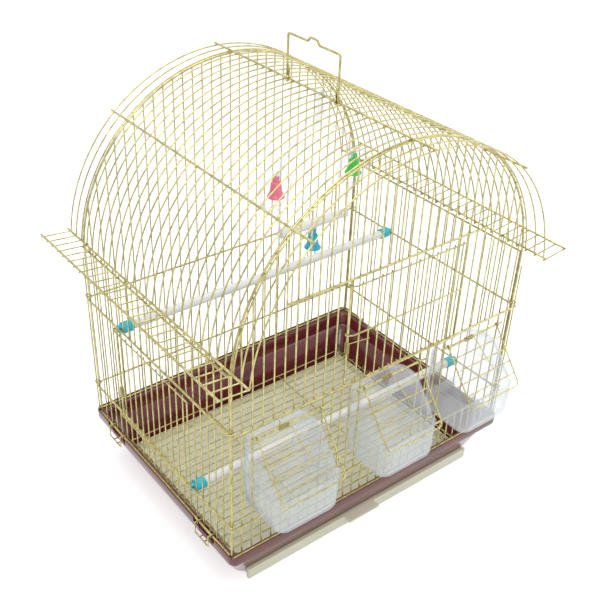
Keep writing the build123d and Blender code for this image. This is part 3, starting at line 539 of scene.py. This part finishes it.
def sprung_door(name, hinge, across, places, reach, zs):
    """A door's mesh: upright wires, bars that reach from the hinge, and a wire down the free side.

    The two directions of across run along the door from the hinge, and into the cage.
    """
    def spot(along, out, z):
        return (hinge[0] + across[0][0] * along - across[1][0] * out,
                hinge[1] + across[0][1] * along - across[1][1] * out, z)

    runs = [([spot(place, door_out, zs[0] - thin), spot(place, door_out, zs[-1] + thin)], thin)
            for place in places]
    for z in zs:
        eye = curl((*hinge, z), across, eye_start, eye_turn)
        runs.append((eye + [spot(bar_start, bar_out, z), spot(reach, bar_out, z)], thin))
    runs.append(([spot(reach, bar_out, zs[0]), spot(reach, bar_out, zs[-1])], thin))
    beads = [spot(place, door_out + thin / 2, z) for place in places for z in zs]
    return wires(name, runs, welds=beads)


hinge_x, door_height, middle_share = wall_x(door_wires[0]), 114, 0.52
door_low = rail_b + rod + rail_gap
door_zs = (door_low, door_low + door_height * middle_share, door_low + door_height)
door = sprung_door("front_door", (hinge_x, -half_depth), ((1, 0, 0), (0, 1, 0)),
                   [wall_x(n) - hinge_x for n in range(door_wires[0] + 1, door_wires[1] + 1)],
                   wall_x(door_wires[1]) + door_lap - hinge_x, door_zs)
shown("front_door", door, None, "front_door", "gold_wire", "front_door")
rod_gap = rod / 2 + weld_gap
round_rod("front_door_hinge", (hinge_x, -half_depth, rail_b + rod_gap),
          (hinge_x, -half_depth, stop_z - rod_gap))

# Side door: a smaller door of the same make in the left wall, between the upper two rails.
# Its hinge rod stands at the back of the doorway.
side_hinge_y = side_door_gaps * side_pitch
door = sprung_door("side_door", (-half_width, side_hinge_y), ((0, -1, 0), (1, 0, 0)),
                   [side_hinge_y - n * side_pitch for n in range(1 - side_door_gaps, side_door_gaps)],
                   2 * side_hinge_y - thin - rail_gap, (rail_a + rod + rail_gap, rail_b - rod - rail_gap))
shown("side_door", door, None, "side_door", "gold_wire", "side_door")
round_rod("side_door_hinge", (-half_width, side_hinge_y, rail_a + rod_gap),
          (-half_width, side_hinge_y, rail_b - rod_gap))

# Feeder flaps: a bent wire frame with four thin bars, hung on a short rod outside the wall.
# The frame's ends curl round the rod.
flap_z, flap_lean = rail_b - 14, math.radians(38.6)
flap_half, flap_length, flap_rod_half = 38, 71.9, 47
flap_bar, bar_downs, bar_depth, bar_bead = 1.3, [14.4 * n for n in range(1, 5)], 1.2, 0.5
feeder_xs = [-post_x + (n + feeder_gaps / 2) * front_pitch for n in feeder_first]


def on_flap(middle, across, down, up=0.0):
    """A point on a flap: across it, down it, and up off it."""
    return (middle + across, -half_depth - down * math.sin(flap_lean) - up * math.cos(flap_lean),
            flap_z - down * math.cos(flap_lean) + up * math.sin(flap_lean))


flap_corners = ((-flap_half, eye_radius), (-flap_half, flap_length), (flap_half, flap_length),
                (flap_half, eye_radius))
flap_eye = [(eye_radius * math.cos(math.radians(a)), eye_radius * math.sin(math.radians(a)))
            for a in range(0, 340, 10)]
for index, middle in enumerate(feeder_xs, 1):
    name = f"feeder_flap_{index}"
    bow = [on_flap(middle, across, down) for across, down in flap_corners]
    eyes = [([on_flap(middle, side * flap_half, down, up) for down, up in flap_eye], thin)
            for side in (-1, 1)]
    bars = [([on_flap(middle, side * flap_half, down, -bar_depth) for side in (-1, 1)], flap_bar)
            for down in bar_downs]
    beads = [on_flap(middle, side * flap_half, down, -bar_bead) for side in (-1, 1) for down in bar_downs]
    mesh = joined(name, wires("flap_frame", [(bow, thin)], bend=5, sides=10), wires("flap_ends", eyes),
                  wires("flap_bars", bars, welds=beads))
    shown(name, mesh, None, f"flap_{index}", "gold_wire", name)
    round_rod(f"flap_hinge_rod_{index}", (middle - flap_rod_half, -half_depth, flap_z),
              (middle + flap_rod_half, -half_depth, flap_z))

# Hinge springs: an open coil of plated wire round each hinge rod. One arm rests on the wall,
# the other presses the door or the flap shut.
spring_steel = gold_lacquer("spring_steel", (0.55, 0.44, 0.15), (0.34, 0.27, 0.08), 0.28)
spring_wire, spring_radius = 0.9, 1.95
spring_coils, coil_pitch, coil_steps = 7, 1.75, 28
door_arms, flap_arms, arm_lean = (11.5, 22), (15, 43), math.radians(12)
front_spring_z, side_spring_z, flap_spring_x = 262.3, 128.3, 13


def torsion_spring(centre, axes, start, turns, arms):
    """A coil's path with its two straight arms, tangent to the coil at its ends."""
    u, v, w = (Vector(a) for a in axes)
    count = int(turns * coil_steps)
    points = []
    for i in range(count + 1):
        t = start + 2 * math.pi * turns * i / count
        points.append(Vector(centre) + u * spring_radius * math.cos(t) + v * spring_radius * math.sin(t)
                      + w * coil_pitch * turns * i / count)
    first, last = (points[0] - points[1]).normalized(), (points[-1] - points[-2]).normalized()
    return [tuple(p) for p in [points[0] + first * arms[0]] + points + [points[-1] + last * arms[1]]]


upright, lying = ((1, 0, 0), (0, 1, 0), (0, 0, 1)), ((0, 1, 0), (0, 0, 1), (1, 0, 0))
springs = [torsion_spring((hinge_x, -half_depth, front_spring_z), upright, -math.pi / 2 - arm_lean,
                          spring_coils, door_arms),
           torsion_spring((-half_width, side_hinge_y, side_spring_z), upright, math.pi - arm_lean,
                          spring_coils, door_arms)]
springs += [torsion_spring((middle - flap_spring_x, -half_depth, flap_z), lying, math.pi,
                           spring_coils - flap_lean / (2 * math.pi), flap_arms) for middle in feeder_xs]
coiled = wires("hinge_springs", [(run, spring_wire) for run in springs], lacquer=spring_steel, sides=7)
shown("hinge_springs", coiled, None, "cage", "spring_steel", "hinge_springs")

# Feeder cups: clear moulded cups that stand through the feeder openings. Each has a rounded
# front outside the cage, a hood over it, and a mouth at the back for the bird.
clear = plastic("clear_plastic", (0.80, 0.86, 0.90), (0.76, 0.82, 0.86), 0.1, grain=30, bump=0.02, coat=0.6)
clear_nodes, clear_links = clear.node_tree.nodes, clear.node_tree.links
facing, body_share = clear_nodes.new("ShaderNodeLayerWeight"), clear_nodes.new("ShaderNodeMapRange")
facing.inputs["Blend"].default_value = 0.28
body_share.inputs["To Min"].default_value = 0.03
body_share.inputs["To Max"].default_value = 0.8
clear_links.new(facing.outputs["Facing"], body_share.inputs["Value"])
clear_links.new(body_share.outputs["Result"], clear_nodes["Principled BSDF"].inputs["Alpha"])
cup_floor, cup_rim_z, cup_height, cup_wall = 106.5, 152.5, 88.5, 1.4
cup_half, cup_front, cup_back, cup_corner = 39, 40, 30, 12
cup_levels = [(0, 9), (0.5, 6), (1.8, 3.6), (4, 1.8), (7, 0.9), (20, 0.5), (43.8, 0.2), (44.6, -0.5),
              (46, -0.7), (46.8, 0.1), (48, 0.5), (66, 0.6), (81, 0.8), (85.5, 1.8), (87.8, 4), (88.5, 7)]
mouth_half, mouth_y, mouth_z = 27, (22, 34), (20, 82)
cup_lug, cup_lug_x, cup_lug_y, cup_lug_zs = (2, 1), 40.6, 2.2 - wire_y, (126.5, 136.5)


def cup_skin(name, middle, wall):
    """The outside of a cup, or its inside at a wall's thickness."""
    rings = []
    for rise, inset in cup_levels:
        z = cup_floor + wall + rise * (1 - 2 * wall / cup_height)
        inward = (max(inset, 0) if wall else inset) + wall
        front = -half_depth - cup_front + max(z - cup_rim_z, 0) * math.tan(flap_lean) + inward
        back = -half_depth + cup_back - inward
        rings.append(round_ring(cup_half - inward, (back - front) / 2, cup_corner - wall, z,
                                (middle, (back + front) / 2)))
    return skinned(name, rings, smooth_angle=50)


def small_lug(half_x, half_y, middle, zs):
    """A small upright block with round corners."""
    return skinned("lug", [round_ring(half_x, half_y, 0.4, z, middle, steps=3) for z in zs])


for index, middle in enumerate(feeder_xs, 1):
    name = f"feeder_cup_{index}"
    inside = cup_skin("inside", middle, cup_wall)
    inside.flip_normals()
    mouth = [(middle + side * mouth_half, y - half_depth, cup_floor + z)
             for side, y, z in zip((-1, 1), mouth_y, mouth_z)]
    cup = less(name, joined(name, cup_skin("outside", middle, 0), inside), [mouth])
    lugs = [small_lug(*cup_lug, (middle + side * cup_lug_x, cup_lug_y), cup_lug_zs) for side in (-1, 1)]
    shown(name, joined(name, cup, *lugs), clear, "cage", "clear_plastic", name)

# Perches: plain white dowels across the cage, one high and one low. A cyan cap on each
# end clips over a rail with two prongs.
white = plastic("white_plastic", (0.86, 0.86, 0.83), (0.80, 0.80, 0.77), 0.4)
cyan = plastic("cyan_plastic", (0.02, 0.55, 0.68), (0.012, 0.47, 0.60), 0.3)
bar_radius, bar_edge, bar_sides = 5.0, 0.8, 40
perch_half, perch_y = 178.0, 5.5 * side_pitch


def rounded_bar(name, half, y, z):
    """A round bar along X with rounded ends."""
    profile = [(0, bar_radius - bar_edge), (bar_edge * 0.3, bar_radius - bar_edge * 0.3),
               (bar_edge, bar_radius)]
    profile += [(2 * half - along, size) for along, size in reversed(profile)]
    turns = [2 * math.pi * i / bar_sides for i in range(bar_sides)]
    return skinned(name, [[((along - half) * mm, (y + size * math.cos(t)) * mm, (z + size * math.sin(t)) * mm)
                           for t in turns] for along, size in profile])


for name, y, z in (("upper_perch", perch_y, rail_b), ("lower_perch", -perch_y, rail_a)):
    shown(name, rounded_bar(name, perch_half, y, z), white, "cage", "white_plastic", name)
    shown(name + "_caps", softened(name + "_caps"), cyan, "cage", "cyan_plastic", name + "_caps")

# Swing: a flat milky frame of rounded bands, with an arch, two rings and two legs. It hooks
# round the ridge rod and holds a white bar between its legs.
milky = plastic("milky_plastic", (0.86, 0.87, 0.86), (0.80, 0.81, 0.80), 0.35)
milky.node_tree.nodes["Principled BSDF"].inputs["Alpha"].default_value = 0.3
swing_y, swing_thick, band, band_edge = -roof_pitch, 5.0, 4.0, 0.7
arch_low, ring_low, bar_low = ridge_z - 77, ridge_z - 89, ridge_z - 140
hook_radius, swing_arch, ring_x, ring_radius = 2.9, 45, 50, 19.5
stem_drop, yoke_drop, yoke_half, swing_bar_half = 3.5, 20, 7, 42.95


def swing_band(points, closed=False):
    """A flat band with rounded edges along points of the swing's plane."""
    count = len(points)
    half, deep, soft = band / 2, swing_thick / 2, band_edge
    section = [(half, deep - soft), (half - soft, deep), (soft - half, deep), (-half, deep - soft),
               (-half, soft - deep), (soft - half, -deep), (half - soft, -deep), (half, soft - deep)]
    body = bmesh.new()
    rings = []
    for i, (x, z) in enumerate(points):
        before = points[i - 1] if closed or i else points[0]
        after = points[(i + 1) % count] if closed or i < count - 1 else points[-1]
        along = Vector((after[0] - before[0], after[1] - before[1])).normalized()
        rings.append([body.verts.new(((x + along[1] * a) * mm, (swing_y + b) * mm, (z - along[0] * a) * mm))
                      for a, b in section])
    pairs = list(zip(rings, rings[1:])) + ([(rings[-1], rings[0])] if closed else [])
    for one, two in pairs:
        for k in range(len(section)):
            m = (k + 1) % len(section)
            body.faces.new((one[k], one[m], two[m], two[k]))
    if not closed:
        body.faces.new(list(reversed(rings[0])))
        body.faces.new(rings[-1])
    bmesh.ops.recalc_face_normals(body, faces=body.faces)
    mesh = bpy.data.meshes.new("band")
    body.to_mesh(mesh)
    body.free()
    return mesh


def round_points(x, z, radius, first, last, steps):
    """Points round part of a circle in the swing's plane."""
    turns = [math.radians(first + (last - first) * i / steps) for i in range(steps + 1)]
    return [(x + radius * math.cos(t), z + radius * math.sin(t)) for t in turns]


def fused(name, meshes):
    """Several closed meshes as one, without inner walls."""
    whole = bpy.data.objects.new(name, meshes[0])
    bpy.context.scene.collection.objects.link(whole)
    others = []
    for mesh in meshes[1:]:
        other = bpy.data.objects.new(name + "_part", mesh)
        bpy.context.scene.collection.objects.link(other)
        joint = whole.modifiers.new("join", "BOOLEAN")
        joint.operation = "UNION"
        joint.solver = "EXACT"
        joint.object = other
        others.append(other)
    bpy.context.view_layer.update()
    made = bpy.data.meshes.new_from_object(whole.evaluated_get(bpy.context.evaluated_depsgraph_get()))
    for spare in [whole] + others:
        bpy.data.objects.remove(spare)
    made.shade_smooth()
    made.set_sharp_from_angle(angle=math.radians(50))
    return made


def ring_band(x, z, radius, count):
    """A closed round band over a number of points."""
    return swing_band(round_points(x, z, radius, 0, 360 - 360 / count, count - 1), closed=True)


bands = [ring_band(0, ridge_z, hook_radius, 30),
         swing_band(round_points(0, arch_low, swing_arch, 0, 180, 48))]
bands += [ring_band(side * ring_x, ring_low, ring_radius, 48) for side in (-1, 1)]
bands += [swing_band([(side * swing_arch, z) for z in (ring_low - ring_radius + 1, bar_low - bar_radius)])
          for side in (-1, 1)]
bands += [swing_band([(0, ridge_z - stem_drop), (0, arch_low + swing_arch - 1)]),
          swing_band([(side * yoke_half, ridge_z - yoke_drop) for side in (-1, 1)])]
lug_x, lug_y, lug_drop = 2.0, 1.5, 6.0
ring_top, bar_foot = ring_low + ring_radius - band / 2, bar_low - bar_radius
bell_tops = {"pink": (-ring_x, ring_top), "green": (ring_x, ring_top), "blue": (0, bar_foot)}
lugs = [small_lug(lug_x, lug_y, (bell_tops[colour][0], swing_y), (ring_top - lug_drop, ring_top + 1))
        for colour in ("pink", "green")]
shown("swing_frame", fused("swing_frame", bands + lugs), milky, "swing", "translucent_plastic", "swing_frame")
bar_lug = small_lug(lug_x, lug_y, (0, swing_y), (bar_foot - lug_drop, bar_foot + 2))
bar = fused("swing_bar", [rounded_bar("bar", swing_bar_half, swing_y, bar_low), bar_lug])
shown("swing_bar", bar, white, "swing", "white_plastic", "swing_bar")

# Bells: three thin moulded bells with flared mouths, each with two ears and a pin through
# the lug above it.
bell_profile = [(0.05, 16.0), (2.2, 15.9), (3.7, 15.2), (4.4, 14.0), (4.8, 11.0), (5.1, 7.4), (5.7, 4.7),
                (6.9, 2.6), (7.9, 1.0), (8.2, 0.0), (8.8, 0.0), (9.0, 0.6), (8.7, 1.5), (7.7, 3.0),
                (6.7, 5.0), (6.1, 7.6), (5.8, 11.0), (5.4, 14.4), (4.6, 16.0), (2.6, 16.9), (0.05, 17.0)]
bell_height, bell_gap, bell_sides = 17, 1.2, 56
ear_x, ear_y, ear_out, pin_half, pin_wire = 2, 0.6, 2.4, 3, 1.5
bell_colours = {"pink": ((0.92, 0.21, 0.32), (0.85, 0.17, 0.27)),
                "green": ((0.03, 0.66, 0.07), (0.02, 0.58, 0.05)),
                "blue": ((0.01, 0.44, 0.66), (0.01, 0.38, 0.58))}
turns = [2 * math.pi * i / bell_sides for i in range(bell_sides)]
for colour, (x, z) in bell_tops.items():
    name, crown, pin_z = f"{colour}_bell", z - lug_drop - bell_gap, z - lug_drop / 2
    shell = skinned("shell", [[((x + r * math.cos(t)) * mm, (swing_y + r * math.sin(t)) * mm,
                                (crown - bell_height + h) * mm) for t in turns] for r, h in bell_profile])
    ear_levels = ((crown - 0.4, 0), (pin_z + 1.2, 0), (pin_z + 1.5, 0.25))
    ears = [skinned("ear", [round_ring(ear_x - inset, ear_y - inset, 0.3, level,
                                       (x, swing_y + side * ear_out), steps=3)
                            for level, inset in ear_levels]) for side in (-1, 1)]
    pin = wires("pin", [([(x, swing_y + side * pin_half, pin_z) for side in (-1, 1)], pin_wire)], sides=14)
    finish = plastic(name, *bell_colours[colour], 0.25, coat=0.3)
    shown(name, joined(name, shell, *ears, pin), finish, name, f"{colour}_plastic", name)

# Carry handle: one thick lacquered rod with a hump for the thumb. Its feet curl once round
# the ridge rod and end in short tails.
leg_y, foot_radius, foot_pitch, tail_rise = 39.5, 2.5, 2.5, 12
hump_foot, hump_top, hump_rise = 9, 5, 4.3
handle_foot, handle_top = ridge_z + foot_radius - 2, ridge_z + 45
half_bow = [(leg_y, handle_foot), (leg_y, handle_top - 1), (leg_y - 1, handle_top),
            (hump_foot, handle_top), (hump_top, handle_top + hump_rise)]
bow = [(0, y, z) for y, z in half_bow] + [(0, -y, z) for y, z in reversed(half_bow)]
turns = [math.radians(10 * i) for i in range(37)]
feet = []
for side in (-1, 1):
    loop = [(foot_radius * math.sin(t), side * (leg_y - foot_pitch * t / (2 * math.pi)),
             ridge_z + foot_radius * math.cos(t)) for t in turns]
    feet.append((loop + [(0, side * (leg_y - foot_pitch), ridge_z + tail_rise)], rod))
handle = joined("carry_handle", wires("bow", [(bow, rod)], bend=3, sides=16), wires("feet", feet, sides=14))
shown("carry_handle", handle, None, "handle", "gold_wire", "carry_handle")

# Latches: bent wires that turn on the side walls' bottom rods and hook under the rim of
# the base with two short prongs each.
latch_gaps, latch_drop, latch_out, latch_curl, prong = (6.5, 8.5), 12.7, 2.5, 300, 6
turn_z, far = frame_z + rod / 2, rim_x + latch_out
latch_top, hook_z = turn_z + eye_radius, turn_z - latch_drop
for side, side_name in ((-1, "left"), (1, "right")):
    for end, end_name in ((-1, "front"), (1, "back")):
        name = f"latch_{end_name}_{side_name}"
        near_y, far_y = (end * gap * side_pitch for gap in latch_gaps)
        outline = ((half_width, near_y, latch_top), (far, near_y, latch_top), (far, near_y, hook_z),
                   (far, far_y, hook_z), (far, far_y, latch_top), (half_width, far_y, latch_top))
        body = [(side * x, y, z) for x, y, z in outline]
        plane = ((0, 0, 1), (side, 0, 0))
        ends = [(curl((side * half_width, y, turn_z), plane, -latch_curl, latch_curl), thin)
                for y in (near_y, far_y)]
        prongs = [([(side * x, near_y + (far_y - near_y) * third / 3, hook_z)
                    for x in (far, far - prong)], thin) for third in (1, 2)]
        latch = joined(name, wires("latch_body", [(body, thin)], bend=1.2, sides=10),
                       wires("latch_ends", ends + prongs))
        shown(name, latch, None, name, "gold_wire", name)

# Floor, lights and camera: a plain pale floor under soft white studio light.
# Camera, glossy and transmission rays see them brighter, so the background is white.
paper_glow, floor_size, floor_z = 0.48, 8, -0.0002
aim = Vector((0, 0, 0.2))
lamps = (("key", (-1.1, -1.5, 1.9), 26, 1.3), ("fill", (1.7, -0.9, 1.3), 12, 1.6),
         ("top", (0.1, 0.6, 2.3), 22, 1.6))


def white_rays(nodes, links, value):
    """A value for camera, glossy and transmission rays, and zero for the others."""
    rays = nodes.new("ShaderNodeLightPath")
    total = rays.outputs["Is Camera Ray"]
    for name in ("Is Glossy Ray", "Is Transmission Ray"):
        either = nodes.new("ShaderNodeMath")
        either.operation = "MAXIMUM"
        links.new(total, either.inputs[0])
        links.new(rays.outputs[name], either.inputs[1])
        total = either.outputs["Value"]
    share = nodes.new("ShaderNodeMath")
    share.operation = "MULTIPLY"
    share.inputs[1].default_value = value
    links.new(total, share.inputs[0])
    return share.outputs["Value"]


paper = bpy.data.materials.new("paper")
paper.use_nodes = True
nodes, links = paper.node_tree.nodes, paper.node_tree.links
surface = nodes["Principled BSDF"]
surface.inputs["Base Color"].default_value = (0.88, 0.88, 0.88, 1)
surface.inputs["Roughness"].default_value = 0.9
surface.inputs["Emission Color"].default_value = (1, 1, 1, 1)
links.new(white_rays(nodes, links, paper_glow), surface.inputs["Emission Strength"])
sheet = bmesh.new()
bmesh.ops.create_grid(sheet, x_segments=1, y_segments=1, size=floor_size)
floor_mesh = bpy.data.meshes.new("floor")
sheet.to_mesh(floor_mesh)
sheet.free()
floor_mesh.materials.append(paper)
floor = bpy.data.objects.new("floor", floor_mesh)
bpy.context.scene.collection.objects.link(floor)
floor.location.z = floor_z
for name, place, power, size in lamps:
    lamp = bpy.data.lights.new(name, "AREA")
    lamp.energy, lamp.size = power, size
    light = bpy.data.objects.new(name, lamp)
    bpy.context.scene.collection.objects.link(light)
    light.location = place
    light.rotation_euler = (aim - light.location).to_track_quat("-Z", "Y").to_euler()
world = bpy.data.worlds.new("studio")
bpy.context.scene.world = world
world.use_nodes = True
nodes, links = world.node_tree.nodes, world.node_tree.links
nodes["Background"].inputs["Color"].default_value = (0.9, 0.92, 0.95, 1)
nodes["Background"].inputs["Strength"].default_value = 0.42
seen = nodes.new("ShaderNodeBackground")
seen.inputs["Color"].default_value = (1, 1, 1, 1)
either = nodes.new("ShaderNodeMixShader")
links.new(white_rays(nodes, links, 1.0), either.inputs["Fac"])
links.new(nodes["Background"].outputs["Background"], either.inputs[1])
links.new(seen.outputs["Background"], either.inputs[2])
links.new(either.outputs["Shader"], nodes["World Output"].inputs["Surface"])
bpy.context.scene.view_settings.view_transform = "Standard"

lens = bpy.data.cameras.new("camera")
lens.lens, lens.sensor_width = 54.85, 36
lens.shift_x, lens.shift_y = -0.0026, 0.016
camera = bpy.data.objects.new("camera", lens)
bpy.context.scene.collection.objects.link(camera)
bpy.context.scene.camera = camera
camera_place = (-0.5386, -0.6623, 0.778)
turn, rise, roll = math.radians(-39.06), math.radians(33.56), math.radians(2.43)
back = Vector((math.sin(turn) * math.cos(rise), -math.cos(turn) * math.cos(rise), math.sin(rise)))
right = Vector((math.cos(turn), math.sin(turn), 0))
up = back.cross(right)
across = right * math.cos(roll) + up * math.sin(roll)
upward = up * math.cos(roll) - right * math.sin(roll)
facing_back = Matrix((across, upward, back)).transposed().to_4x4()
camera.matrix_world = Matrix.Translation(camera_place) @ facing_back

bpy.context.view_layer.update()
